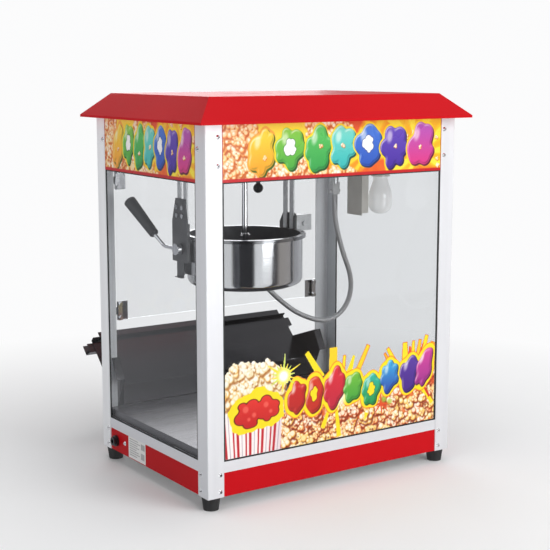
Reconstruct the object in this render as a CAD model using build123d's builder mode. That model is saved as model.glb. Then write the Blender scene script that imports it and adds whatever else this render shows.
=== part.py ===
from build123d import *
import math
import os

# Countertop popcorn maker, millimetres, +Z up, customer's front face looks along -Y.
# Origin: centre of the bounding box in X and Y, on the plane that the feet stand on.
# Cabinet frame: x from the centre, y from the cabinet's centre, z from the cabinet's underside.

# ---- driving dimensions -------------------------------------------------
FOOT_H = 22.0            # feet under the cabinet
YC = -50.4               # cabinet's centre in Y (the open bin stands out behind)
W2 = 250.0               # half width over the corner posts
D2 = 183.0               # half depth over the corner posts
POST = 30.0              # flange width of a corner post
POST_T = 2.0             # flange thickness
H_POST = 588.5           # length of the posts
H_SKIRT = 39.6           # painted base skirt
H_RAIL = 57.6            # top of the lower rails
H_DECK = 72.0            # top of the warming deck
H_HEAD = 499.2           # lower edge of the header panels
H_CEIL = 514.0           # underside of the ceiling plate
H_ROOF = 629.5           # top of the canopy
OVER_X, OVER_Y = 20.0, 22.0   # eaves beyond the posts
INSET = 19.5             # canopy's flat top inside the posts
GLASS_T = 3.0
XK = -62.0               # kettle's centre in X
R_JACKET = 99.5          # kettle's outside radius
R_RIM = 105.0            # kettle's rim radius
Z_RIM = 392.0            # kettle's rim
Z_KBOT = 305.0           # jacket's lower edge
AX_Y, AX_Z = 24.0, 370.0 # kettle's tilt axis, along X
PIN_R = 5.0              # pivot pins
FIT = 0.05               # radial clearance of a running fit
LEAD_D = 9.0             # kettle lead's outside diameter
BIN_Y, BIN_Z = 183.2, 62.0    # bin's hinge axis, along X
BIN_OPEN = 45.5          # bin's angle from closed, degrees
BIN_HW = 217.0           # bin's half width
DOOR_Z0, DOOR_Z1 = 226.5, 498.5
HINGE_X, HINGE_Y = 221.0, 186.4   # door hinge axes, along Z
HINGE_ZS = (242.5, 477.0)


def at(x, y, z):
    return (x, YC + y, FOOT_H + z)


def level(z, x=0.0, y=0.0):
    """Horizontal plane at height z; sketch axes are +X and +Y."""
    return Plane(origin=at(x, y, z), x_dir=(1, 0, 0), z_dir=(0, 0, 1))


def facing(y, x=0.0, z=0.0):
    """Upright plane looking along -Y; sketch axes are +X and +Z."""
    return Plane(origin=at(x, y, z), x_dir=(1, 0, 0), z_dir=(0, -1, 0))


def across(x, y=0.0, z=0.0):
    """Upright plane looking along +X; sketch axes are +Y and +Z."""
    return Plane(origin=at(x, y, z), x_dir=(0, 1, 0), z_dir=(1, 0, 0))


def block(x0, x1, y0, y1, z0, z1, mode=Mode.ADD):
    with Locations(at((x0 + x1) / 2, (y0 + y1) / 2, (z0 + z1) / 2)):
        Box(abs(x1 - x0), abs(y1 - y0), abs(z1 - z0), mode=mode)


def round_z(x, y, z0, z1, r, mode=Mode.ADD):
    with Locations(at(x, y, (z0 + z1) / 2)):
        Cylinder(r, z1 - z0, mode=mode)


def round_x(x0, x1, y, z, r, mode=Mode.ADD):
    with Locations(at((x0 + x1) / 2, y, z)):
        Cylinder(r, abs(x1 - x0), rotation=(0, 90, 0), mode=mode)


def round_y(x, y0, y1, z, r, mode=Mode.ADD):
    with Locations(at(x, (y0 + y1) / 2, z)):
        Cylinder(r, abs(y1 - y0), rotation=(90, 0, 0), mode=mode)


os.makedirs("parts", exist_ok=True)
made = {}


def keep(part, name):
    part.label = name
    export_step(part, "parts/" + name + ".step")
    made[name] = part


# ======================= cabinet =========================================
# feet: tapered rubber, one under each corner
with BuildPart() as feet:
    for sx in (-1, 1):
        for sy in (-1, 1):
            with Locations((sx * 234, YC + sy * 165, FOOT_H / 2)):
                Cone(bottom_radius=12.5, top_radius=15.5, height=FOOT_H)
keep(feet.part, "feet")

# painted skirt: four walls with a folded-in top edge
with BuildPart() as base_skirt:
    with BuildSketch(level(0)):
        Rectangle(2 * W2 - 2 * POST_T, 2 * D2 - 2 * POST_T)
        Rectangle(2 * W2 - 2 * POST_T - 3, 2 * D2 - 2 * POST_T - 3, mode=Mode.SUBTRACT)
    extrude(amount=H_SKIRT)
    with BuildSketch(level(H_SKIRT - 1.5)):
        Rectangle(2 * W2 - 2 * POST_T, 2 * D2 - 2 * POST_T)
        Rectangle(2 * W2 - 30, 2 * D2 - 30, mode=Mode.SUBTRACT)
    extrude(amount=1.5)
    # mitred corners: four folded panels that meet behind the posts
    for sx in (-1, 1):
        for sy in (-1, 1):
            with BuildSketch(level(-1)):
                with BuildLine():
                    Polyline((sx * 233.0, sy * 166.3), (sx * 249.3, sy * 182.6), (sx * 249.6, sy * 182.3),
                             (sx * 233.3, sy * 166.0), (sx * 233.0, sy * 166.3))
                make_face()
            extrude(amount=H_SKIRT + 2, mode=Mode.SUBTRACT)
    # hole for the supply gland in the left wall
    round_x(-250, -244, 133.6, 19.0, 7.0, mode=Mode.SUBTRACT)
keep(base_skirt.part, "base_skirt")

# bottom pan with rows of vent slots
with BuildPart() as base_pan:
    block(-246.3, 246.3, -179.3, 179.3, 0.4, 1.6)
    with BuildSketch(level(0.4)):
        for yy in (-90, 0, 90):
            with Locations(*[(xx, yy) for xx in range(-150, 151, 60)]):
                SlotOverall(40, 6)
    extrude(amount=1.2, mode=Mode.SUBTRACT)
keep(base_pan.part, "base_pan")

# lower rails of extruded aluminium between the posts, one on each side
with BuildPart() as lower_rails:
    for sy in (-1, 1):
        block(-219.8, 219.8, sy * 182.4, sy * 176.6, H_SKIRT + 0.05, H_RAIL)
    for sx in (-1, 1):
        block(sx * 249.4, sx * 243.6, -152.8, 152.8, H_SKIRT + 0.05, H_RAIL)
keep(lower_rails.part, "lower_rails")

# corner posts: equal aluminium angle, slightly rounded outside corner
posts = {}
for name, sx, sy in (("post_front_left", -1, -1), ("post_front_right", 1, -1),
                     ("post_rear_left", -1, 1), ("post_rear_right", 1, 1)):
    with BuildPart() as post:
        with BuildSketch(level(0)):
            with BuildLine():
                Polyline((sx * W2, sy * D2), (sx * (W2 - POST), sy * D2),
                         (sx * (W2 - POST), sy * (D2 - POST_T)),
                         (sx * (W2 - POST_T), sy * (D2 - POST_T)),
                         (sx * (W2 - POST_T), sy * (D2 - POST)),
                         (sx * W2, sy * (D2 - POST)), (sx * W2, sy * D2))
            make_face()
        extrude(amount=H_POST)
        corner = [e for e in post.edges().filter_by(Axis.Z)
                  if abs(e.center().X - sx * W2) < 0.1 and abs(e.center().Y - YC - sy * D2) < 0.1]
        fillet(corner, 1.6)
    keep(post.part, name)

# glass panes behind the posts' flanges, standing on the rails
with BuildPart() as front_glass:
    block(-244, 244, -181.0, -181.0 + GLASS_T, H_RAIL + 0.05, H_CEIL - 1)
    chamfer(front_glass.edges().filter_by(Axis.Z), 0.5)
keep(front_glass.part, "front_glass")
for name, sx in (("left_glass", -1), ("right_glass", 1)):
    with BuildPart() as pane:
        block(sx * 248.0, sx * (248.0 - GLASS_T), -177.5, 177.5, H_RAIL + 0.05, H_CEIL - 1)
        chamfer(pane.edges().filter_by(Axis.Z), 0.5)
    keep(pane.part, name)

# gaskets: dark beads on the outside of the panes, along the posts and the rails
with BuildPart() as glass_gaskets:
    with BuildSketch(facing(-181.0)):
        with Locations((0, (H_RAIL + 0.1 + H_HEAD - 0.1) / 2)):
            Rectangle(439.6, H_HEAD - H_RAIL - 0.2)
            Rectangle(434.0, H_HEAD - H_RAIL - 3.6, mode=Mode.SUBTRACT)
    extrude(amount=1.4)
    for sx in (-1, 1):
        with BuildSketch(Plane(origin=at(sx * 248.0, 0, 0), x_dir=(0, 1, 0), z_dir=(1, 0, 0))):
            with Locations((0, (H_RAIL + 0.1 + H_HEAD - 0.1) / 2)):
                Rectangle(305.6, H_HEAD - H_RAIL - 0.2)
                Rectangle(300.0, H_HEAD - H_RAIL - 3.6, mode=Mode.SUBTRACT)
        extrude(amount=1.2 * sx)
keep(glass_gaskets.part, "glass_gaskets")

# header: four printed or painted panels behind the posts' flanges
with BuildPart() as header_front:
    block(-246.4, 246.4, -183.0 + POST_T, -179.5, H_CEIL - 0.95, H_POST - 0.1)
    block(-219.7, 219.7, -182.6, -181.0, H_HEAD, H_POST - 0.1)
keep(header_front.part, "header_front")
for name, sx in (("header_left", -1), ("header_right", 1)):
    with BuildPart() as panel:
        block(sx * 248.0, sx * 246.5, -179.4, 179.4, H_CEIL - 0.95, H_POST - 0.1)
        block(sx * 249.6, sx * 248.0, -152.7, 152.7, H_HEAD, H_POST - 0.1)
    keep(panel.part, name)
SW_X = (-60.0, 0.0, 60.0)
SW_Z = 546.0
with BuildPart() as header_rear:
    block(-246.4, 246.4, 179.5, 181.0, H_CEIL - 0.95, H_POST - 0.1)
    block(-219.7, 219.7, 181.0, 182.6, H_HEAD + 0.3, H_POST - 0.1)
    for xx in SW_X:
        block(xx - 10.5, xx + 10.5, 179, 183, SW_Z - 13.5, SW_Z + 13.5, mode=Mode.SUBTRACT)
keep(header_rear.part, "header_rear")

# ceiling plate that carries the motor, the hangers, the lamp and the lead's connector
XL, YL = 203.0, -40.0        # lamp
XG, YG = 144.6, 20.0         # lead's connector
with BuildPart() as ceiling_plate:
    block(-246.2, 246.2, -178.0, 179.3, H_CEIL, H_CEIL + 1.5)
    round_z(XK, 0, H_CEIL - 1, H_CEIL + 3, 13.0, mode=Mode.SUBTRACT)
    round_z(XL, YL, H_CEIL - 1, H_CEIL + 3, 17.3, mode=Mode.SUBTRACT)
    round_z(XG, YG, H_CEIL - 1, H_CEIL + 3, 8.3, mode=Mode.SUBTRACT)
keep(ceiling_plate.part, "ceiling_plate")

# canopy: hipped sheet roof, hollow below, with louvred vents in its flat top
VENT_X = [XX * 27.0 for XX in (-3.5, -2.5, -1.5, -0.5, 0.5, 1.5, 2.5, 3.5)]
with BuildPart() as roof_canopy:
    with BuildSketch(level(H_POST + 4.0)):
        Rectangle(2 * (W2 + OVER_X), 2 * (D2 + OVER_Y))
    with BuildSketch(level(H_ROOF)):
        Rectangle(2 * (W2 - INSET), 2 * (D2 - INSET))
    loft()
    with BuildSketch(level(H_POST)):
        Rectangle(2 * (W2 + OVER_X), 2 * (D2 + OVER_Y))
    extrude(amount=4.0)
    with BuildSketch(level(H_POST + 4.0)):
        Rectangle(2 * (W2 + OVER_X) - 6, 2 * (D2 + OVER_Y) - 6)
    with BuildSketch(level(H_ROOF - 1.5)):
        Rectangle(2 * (W2 - INSET) - 4, 2 * (D2 - INSET) - 4)
    loft(mode=Mode.SUBTRACT)
    with BuildSketch(level(H_POST + 1.5)):
        Rectangle(2 * (W2 + OVER_X) - 6, 2 * (D2 + OVER_Y) - 6)
    extrude(amount=2.5, mode=Mode.SUBTRACT)
    with BuildSketch(level(H_POST)):
        Rectangle(2 * W2 - 8, 2 * D2 - 8)
    extrude(amount=2.0, mode=Mode.SUBTRACT)
    with BuildSketch(level(H_ROOF - 3)):
        with Locations(*[(vx, 0) for vx in VENT_X]):
            SlotOverall(34, 5.0, rotation=90)
    extrude(amount=5, mode=Mode.SUBTRACT)
keep(roof_canopy.part, "roof_canopy")

# dome-head screws through the posts, and the ground screw in the left skirt wall
with BuildPart() as cabinet_screws:
    spots = []
    for sy in (-1, 1):
        for sx in (-1, 1):
            for zz in (9.5, 37.0, 525.0, 569.0):
                spots.append((at(sx * 227.0, sy * D2, zz), (0, sy, 0)))
    for sx in (-1, 1):
        for sy in (-1, 1):
            for zz in (9.5, 37.0, 551.0):
                spots.append((at(sx * W2, sy * 160.0, zz), (sx, 0, 0)))
    spots.append((at(-248.0, 102.0, 21.5), (-1, 0, 0)))
    for pos, axis in spots:
        with BuildSketch(Plane(origin=pos, z_dir=axis)):
            Circle(3.9)
        extrude(amount=2.2, taper=38)
keep(cabinet_screws.part, "cabinet_screws")

# supply gland in the base's left wall, and a rubber grommet under the ceiling
with BuildPart() as cable_glands:
    round_x(-252.5, -248.0, 133.6, 19.0, 10.0)
    round_x(-248.0, -238.0, 133.6, 19.0, 6.9)
    round_x(-257.0, -252.5, 133.6, 19.0, 7.5)
    round_x(-258.0, -236.0, 133.6, 19.0, 4.0, mode=Mode.SUBTRACT)
    round_z(31.3, 100.0, 460.0, H_CEIL, 4.0)
    with Locations(at(31.3, 100.0, 456.4)):
        Sphere(9.2)
keep(cable_glands.part, "cable_glands")

# ======================= inside the cabinet ==============================
# warming deck: shallow inverted tray
with BuildPart() as warming_deck:
    block(-243.0, 243.0, -176.0, 166.0, H_RAIL + 0.4, H_DECK)
    block(-241.5, 241.5, -174.5, 164.5, H_RAIL - 1, H_DECK - 1.5, mode=Mode.SUBTRACT)
keep(warming_deck.part, "warming_deck")

with BuildPart() as deck_heater:
    block(-120.0, 120.0, -85.0, 85.0, H_DECK - 4.0, H_DECK - 1.55)
    fillet(deck_heater.edges().filter_by(Axis.Z), 12)
keep(deck_heater.part, "deck_heater")

# rear kick panel: folded sheet that keeps popcorn off the bin's hinge
with BuildPart() as kick_panel:
    block(-214.0, 214.0, 168.5, 170.0, H_RAIL + 0.1, 108.0)
    block(-214.0, 214.0, 168.5, 177.0, H_RAIL + 0.1, H_RAIL + 1.6)
    block(-214.0, 214.0, 168.5, 174.0, 106.5, 108.0)
keep(kick_panel.part, "kick_panel")

# hangers: two flat bars under a foot plate, on each side of the kettle
XH = 110.0   # pivot plate's inner face from the kettle's centre
for name, sx in (("hanger_left", -1), ("hanger_right", 1)):
    with BuildPart() as hanger:
        for y0 in (8.5, 28.5):
            block(XK + sx * (XH - 3.0), XK + sx * XH, y0, y0 + 11.0, 420.0 if sx < 0 else 387.0, H_CEIL - 2.0)
        block(XK + sx * (XH - 3.0), XK + sx * (XH + 14.0), 4.0, 44.0, H_CEIL - 2.0, H_CEIL)
    keep(hanger.part, name)

for name, sx in (("pivot_plate_left", -1), ("pivot_plate_right", 1)):
    with BuildPart() as plate:
        with BuildSketch(across(XK + sx * XH)):
            with BuildLine():
                if sx < 0:      # long, with a narrow tongue below
                    Polyline((11, 455), (43, 455), (55, 416), (55, 347), (40, 347), (40, 320), (19, 320),
                             (19, 347), (4, 347), (4, 416), (11, 455))
                else:
                    Polyline((8, 418), (43, 418), (55, 400), (55, 347), (4, 347), (4, 414), (8, 418))
            make_face()
        extrude(amount=2.0 * sx)
        # folded-in front edge
        block(XK + sx * (XH - 3.0), XK + sx * (XH + 0.2), 4.0, 5.5, 347.0, 414.0)
        if sx < 0:
            block(XK - XH - 6.0, XK - XH, 19.0, 40.0, 320.0, 321.5)
        # bearing boss
        round_x(XK + sx * XH, XK + sx * (XH + 6.0), AX_Y, AX_Z, 9.0)
        round_x(XK + sx * (XH - 5), XK + sx * (XH + 8.0), AX_Y, AX_Z, PIN_R + FIT, mode=Mode.SUBTRACT)
    keep(plate.part, name)

with BuildPart() as hanger_bolts:
    for sx, heights in ((-1, (440.0, 426.0)), (1, (408.0, 394.0))):
        for yy in (14.0, 34.0) if sx > 0 else (18.0, 36.0):
            for zz in heights:
                seat = XH + (3.5 if sx > 0 and yy < 20 else 2.0)
                with BuildSketch(Plane(origin=at(XK + sx * seat, yy, zz), z_dir=(sx, 0, 0))):
                    RegularPolygon(4.3, 6)
                extrude(amount=3.0)
keep(hanger_bolts.part, "hanger_bolts")

# folded bracket with the catch that holds the kettle level, on the right plate
with BuildPart() as catch_bracket:
    block(50.0, 51.5, 7.0, 28.0, 386.0, 414.0)
    block(50.0, 84.0, 7.0, 8.5, 386.0, 414.0)
    block(50.0, 84.0, 7.0, 28.0, 412.5, 414.0)
    round_y(68.0, 2.5, 7.0, 399.0, 4.5)
keep(catch_bracket.part, "catch_bracket")

# lamp: shield bracket, holder and bulb
with BuildPart() as lamp_bracket:
    block(165.0, 166.5, -35.0, 8.0, 410.0, H_CEIL)
    block(165.0, 180.0, -35.0, -33.5, 414.0, H_CEIL)
    block(165.0, 180.0, -35.0, 8.0, H_CEIL - 1.5, H_CEIL)
keep(lamp_bracket.part, "lamp_bracket")
with BuildPart() as lamp_socket:
    round_z(XL, YL, 480.0, H_CEIL + 12.0, 17.0)
    round_z(XL, YL, H_CEIL - 3.0, H_CEIL, 20.0)
keep(lamp_socket.part, "lamp_socket")
with BuildPart() as lamp_bulb:
    with BuildSketch(Plane(origin=at(XL, YL, 0), x_dir=(1, 0, 0), z_dir=(0, -1, 0))):
        with BuildLine():
            Line((0, 479.9), (13.0, 479.9))
            Spline((13.0, 479.9), (15.0, 468.0), (20.5, 452.0), (21.5, 440.0))
            Line((21.5, 440.0), (21.5, 431.0))
            Spline((21.5, 431.0), (17.0, 418.5), (0, 412.0), tangents=[(0, -1), (-1, 0)])
            Line((0, 412.0), (0, 479.9))
        make_face()
    revolve(axis=Axis(at(XL, YL, 0), (0, 0, 1)))
keep(lamp_bulb.part, "lamp_bulb")

# gear motor above the ceiling plate
with BuildPart() as gear_motor:
    block(XK - 32, XK + 44, -28, 28, H_CEIL + 1.6, H_CEIL + 30)
    round_z(XK + 16, 0, H_CEIL + 30, H_CEIL + 66, 24)
    for xx, yy in ((-26, -22), (38, -22), (-26, 22), (38, 22)):
        round_z(XK + xx, yy, H_CEIL + 30, H_CEIL + 33, 4)
    round_z(XK, 0, H_CEIL - 2, H_CEIL + 26, 4.0 + FIT, mode=Mode.SUBTRACT)
keep(gear_motor.part, "gear_motor")

# drive coupling: spindle with a forked lower end, open along Y at rest
with BuildPart() as drive_coupling:
    round_z(XK, 0, 501.8, H_CEIL + 1.2, 8.0)
    round_z(XK, 0, H_CEIL + 1.2, H_CEIL + 24, 4.0)
    block(XK - 3.4, XK + 3.4, -12, 12, 490, 512.4, mode=Mode.SUBTRACT)
keep(drive_coupling.part, "drive_coupling")

# lead's connector: squeeze fitting with two side screws under the ceiling
LEAD_TOP = 445.6
with BuildPart() as lead_connector:
    round_z(XG, YG, LEAD_TOP + 20, H_CEIL, 7.5)
    round_z(XG, YG, H_CEIL - 6, H_CEIL, 13.0)
    block(XG - 7.5, XG + 7.5, YG - 6.0, YG + 6.0, LEAD_TOP, LEAD_TOP + 22)
    round_x(XG - 11.5, XG - 7.5, YG, LEAD_TOP + 6, 3.2)
    round_x(XG + 7.5, XG + 11.5, YG, LEAD_TOP + 6, 3.2)
    round_z(XG, YG, H_CEIL, H_CEIL + 10, 8.0)
keep(lead_connector.part, "lead_connector")

# ======================= kettle ==========================================
with BuildPart() as kettle_pot:
    with BuildSketch(facing(0, XK)):
        with BuildLine():
            Line((0, 322.5), (84, 322.5))
            RadiusArc((84, 322.5), (97.5, 336.0), -13.5)
            Polyline((97.5, 336.0), (97.5, 390.5), (103.5, 390.5), (103.5, 386.0), (R_RIM, 386.0),
                     (R_RIM, Z_RIM), (96.0, Z_RIM), (96.0, 336.0))
            RadiusArc((96.0, 336.0), (84, 324.0), 12.0)
            Polyline((84, 324.0), (0, 324.0), (0, 322.5))
        make_face()
    revolve(axis=Axis(at(XK, 0, 0), (0, 0, 1)))
keep(kettle_pot.part, "kettle_pot")

with BuildPart() as kettle_jacket:
    with BuildSketch(facing(0, XK)):
        with BuildLine():
            Line((80, Z_KBOT), (87.5, Z_KBOT))
            RadiusArc((87.5, Z_KBOT), (R_JACKET, Z_KBOT + 12), -12)
            Polyline((R_JACKET, Z_KBOT + 12), (R_JACKET, 390.4), (98.0, 390.4), (98.0, Z_KBOT + 12))
            RadiusArc((98.0, Z_KBOT + 12), (87.5, Z_KBOT + 1.5), 10.5)
            Polyline((87.5, Z_KBOT + 1.5), (80, Z_KBOT + 1.5), (80, Z_KBOT))
        make_face()
    revolve(axis=Axis(at(XK, 0, 0), (0, 0, 1)))
keep(kettle_jacket.part, "kettle_jacket")

with BuildPart() as kettle_heater:
    round_z(XK, 0, 314.0, 322.4, 78.0)
    round_z(XK, 0, 313.0, 323.0, 30.0, mode=Mode.SUBTRACT)
keep(kettle_heater.part, "kettle_heater")

with BuildPart() as kettle_base_cover:
    round_z(XK, 0, 303.4, 304.95, 86.0)
    fillet(kettle_base_cover.faces().sort_by(Axis.Z)[0].edges(), 1.0)
keep(kettle_base_cover.part, "kettle_base_cover")

# lugs: pressed plates on the jacket, with a spacer that fits the jacket's curve
with BuildPart() as kettle_lugs:
    for sx in (-1, 1):
        with BuildSketch(across(XK + sx * 101.7)):
            with BuildLine():
                Polyline((-6, 326), (28, 326), (28, 345), (31, 345), (31, 323), (50, 323),
                         (50, 384), (-6, 384), (-6, 326))
            make_face()
        extrude(amount=2.0 * sx)
        block(XK + sx * 85, XK + sx * 101.7, 6.0, 42.0, 350.0, 384.0)
    round_z(XK, 0, 320.0, 390.0, R_JACKET + 0.02, mode=Mode.SUBTRACT)
keep(kettle_lugs.part, "kettle_lugs")

with BuildPart() as pivot_pins:
    round_x(XK - 103.7, XK - 125.0, AX_Y, AX_Z, PIN_R)
    round_x(XK + 103.7, XK + 119.0, AX_Y, AX_Z, PIN_R)
    round_x(XK + 116.8, XK + 119.0, AX_Y, AX_Z, 8.0)
keep(pivot_pins.part, "pivot_pins")

# tilt lever: hub on the left pin, bent rod, moulded grip
G0 = Vector(*at(-194.0, 81.0, 390.0))
G1 = Vector(*at(-212.0, 139.0, 445.0))
GD = (G1 - G0).normalized()
with BuildPart() as tilt_rod:
    round_x(-187.0, -179.0, AX_Y, AX_Z, 10.0)
    with BuildLine():
        FilletPolyline(at(-183.0, 31.0, 370.4), at(-186.5, 61.0, 371.6), tuple(G0), tuple(G0 + GD * 30),
                       radius=12.0)
    with BuildSketch(Plane(origin=at(-183.0, 31.0, 370.4),
                           z_dir=(-3.5, 30.0, 1.2))):
        Circle(3.1)
    sweep()
    round_x(-190.0, -176.0, AX_Y, AX_Z, PIN_R, mode=Mode.SUBTRACT)
keep(tilt_rod.part, "tilt_rod")

side_dir = Vector(1, 0, 0).cross(GD).normalized()
grip_plane = Plane(origin=tuple(G0), x_dir=tuple(GD), z_dir=tuple(GD.cross(side_dir)))
GL = (G1 - G0).length
with BuildPart() as tilt_grip:
    with BuildSketch(grip_plane):
        with BuildLine():
            Polyline((0, 3.1), (0, 7.0), (2.0, 8.4), (GL - 4.0, 11.0))
            RadiusArc((GL - 4.0, 11.0), (GL, 7.0), 4.0)
            Polyline((GL, 7.0), (GL, 0), (30.0, 0), (30.0, 3.1), (0, 3.1))
        make_face()
    revolve(axis=Axis(tuple(G0), tuple(GD)))
keep(tilt_grip.part, "tilt_grip")

# terminal box under the kettle, with the lead's slanted outlet
LEAD = [at(-5.0, 34.0, 296.0), at(14.8, 34.0, 274.8), at(57.0, 33.0, 240.5), at(83.6, 31.8, 225.5),
        at(114.5, 31.0, 213.4), at(141.9, 30.2, 210.6), at(167.5, 29.4, 220.9), at(185.2, 28.4, 242.0),
        at(191.0, 27.2, 269.0), at(186.5, 26.0, 297.0), at(173.0, 24.8, 325.5), at(160.8, 23.4, 356.0),
        at(151.0, 21.9, 386.0), at(XG, YG, 416.5), at(XG, YG, LEAD_TOP)]
out_dir = (Vector(*LEAD[1]) - Vector(*LEAD[0])).normalized()
outlet = Vector(*LEAD[0]) - out_dir * 14.0
with BuildPart() as kettle_terminal:
    block(-66.0, -12.0, 22.0, 46.0, 290.0, 303.3)
    fillet(kettle_terminal.edges().filter_by(Axis.Z), 3.0)
    with BuildSketch(Plane(origin=tuple(outlet), z_dir=tuple(out_dir))):
        Circle(6.0)
    extrude(amount=13.6)
    block(-80.0, 20.0, 10.0, 60.0, 303.3, 320.0, mode=Mode.SUBTRACT)
keep(kettle_terminal.part, "kettle_terminal")

# kettle lead: conduit from the terminal box to the connector in the ceiling
runs, turns, radii = [], [], []
vecs = [Vector(*q) for q in LEAD]
for a, b in zip(vecs[:-1], vecs[1:]):
    runs.append((b - a).length)
for i in range(1, len(vecs) - 1):
    t = (vecs[i] - vecs[i - 1]).get_angle(vecs[i + 1] - vecs[i])
    turns.append(t)
    radii.append(0.45 * min(runs[i - 1], runs[i]) / math.tan(math.radians(t / 2)))
with BuildPart() as kettle_lead:
    with BuildLine() as lead_line:
        FilletPolyline(*LEAD, radius=radii)
    with BuildSketch(Plane(origin=LEAD[0], z_dir=tuple(out_dir))):
        Circle(LEAD_D / 2)
    sweep()
keep(kettle_lead.part, "kettle_lead")
lead_len = lead_line.wires()[0].length if lead_line.wires() else sum(e.length for e in lead_line.edges())
print("kettle_lead runs", [round(r, 1) for r in runs])
print("kettle_lead turns", [round(t, 1) for t in turns])
print("kettle_lead radii", [round(r, 1) for r in radii])
print("kettle_lead length", round(lead_len, 1), "volume", round(kettle_lead.part.volume),
      "section x length", round(math.pi * LEAD_D ** 2 / 4 * lead_len))

# agitator: shaft with a cross pin and a tang, and two sweeping arms on a hub
with BuildPart() as agitator_shaft:
    round_z(XK, 0, 327.0, 496.0, 5.0)
    block(XK - 3.0, XK + 3.0, -4.0, 4.0, 496.0, 510.0)
    round_z(XK, 0, 384.0, 391.0, 6.6)
    round_x(XK - 9.0, XK + 9.0, 0, 388.0, 1.8)
keep(agitator_shaft.part, "agitator_shaft")
with BuildPart() as agitator_blades:
    round_z(XK, 0, 324.6, 341.0, 11.0)
    for sgn in (-1, 1):
        with BuildSketch(level(324.6, XK, 0)):
            with BuildLine():
                ThreePointArc((sgn * 6, sgn * -3), (sgn * 48, sgn * 12), (sgn * 86, sgn * 2))
                Line((sgn * 86, sgn * 2), (sgn * 85, sgn * 10))
                ThreePointArc((sgn * 85, sgn * 10), (sgn * 47, sgn * 18.5), (sgn * 4, sgn * 6))
                Line((sgn * 4, sgn * 6), (sgn * 6, sgn * -3))
            make_face()
        extrude(amount=6.0)
    round_z(XK, 0, 327.0, 345.0, 5.0, mode=Mode.SUBTRACT)
keep(agitator_blades.part, "agitator_blades")

# ======================= rear doors ======================================
DY0, DY1 = 179.3, 182.8
for side, sx in (("left", -1), ("right", 1)):
    with BuildPart() as door:
        block(sx * 0.8, sx * 217.6, DY0, DY1, DOOR_Z0, DOOR_Z1)
        fillet(door.edges().filter_by(Axis.Y), 3.0)
        # finger hole near the meeting edge
        round_y(sx * 24.0, DY0 - 1, DY1 + 1, 352.0, 11.0, mode=Mode.SUBTRACT)
    keep(door.part, "door_" + side)
    with BuildPart() as leaves:
        for zc in HINGE_ZS:
            block(sx * 196.0, sx * 217.0, DY1 + 0.02, DY1 + 1.4, zc - 17, zc + 17)
            block(sx * 213.0, sx * 218.7, DY1 + 0.02, DY1 + 3.2, zc - 6.8, zc + 6.8)
            round_z(sx * HINGE_X, HINGE_Y, zc - 6.8, zc + 6.8, 3.0)
            # clamp strip and two bolts inside the pane
            block(sx * 209.0, sx * 217.0, DY0 - 1.3, DY0 - 0.02, zc - 17, zc + 17)
            for dz in (-12.5, 12.5):
                round_y(sx * 212.5, DY0 - 5.0, DY0 - 1.3, zc + dz, 3.6)
                round_y(sx * 212.5, DY1 + 1.4, DY1 + 3.4, zc + dz, 3.4)
            round_z(sx * HINGE_X, HINGE_Y, zc - 8, zc + 8, 1.5 + FIT, mode=Mode.SUBTRACT)
    keep(leaves.part, "hinge_leaves_" + side)

with BuildPart() as hinge_posts:
    for sx in (-1, 1):
        for zc in HINGE_ZS:
            for z0, z1 in ((zc - 17, zc - 7.1), (zc + 7.1, zc + 17)):
                round_z(sx * HINGE_X, HINGE_Y, z0, z1, 3.0)
                block(sx * HINGE_X, sx * 228.0, D2 + 0.05, HINGE_Y - 0.6, z0, z1)
            block(sx * 224.6, sx * 240.0, D2 + 0.05, D2 + 1.5, zc - 17, zc + 17)
            round_z(sx * HINGE_X, HINGE_Y, zc - 17, zc + 17, 1.5)
            for dz in (-10, 10):
                round_y(sx * 234.0, D2 + 1.5, D2 + 3.0, zc + dz, 3.2)
keep(hinge_posts.part, "hinge_posts")

# ======================= tilt-out bin ====================================
# Bin frame at its open angle: s along the panel from the hinge, n towards the cabinet.
ca, sa = math.cos(math.radians(BIN_OPEN)), math.sin(math.radians(BIN_OPEN))


def bin_plane(x):
    """Plane across the bin; sketch x runs up the panel (s), sketch y runs inwards (n)."""
    return Plane(origin=at(x, BIN_Y, BIN_Z), x_dir=(0, sa, ca), z_dir=(1, 0, 0))


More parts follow.
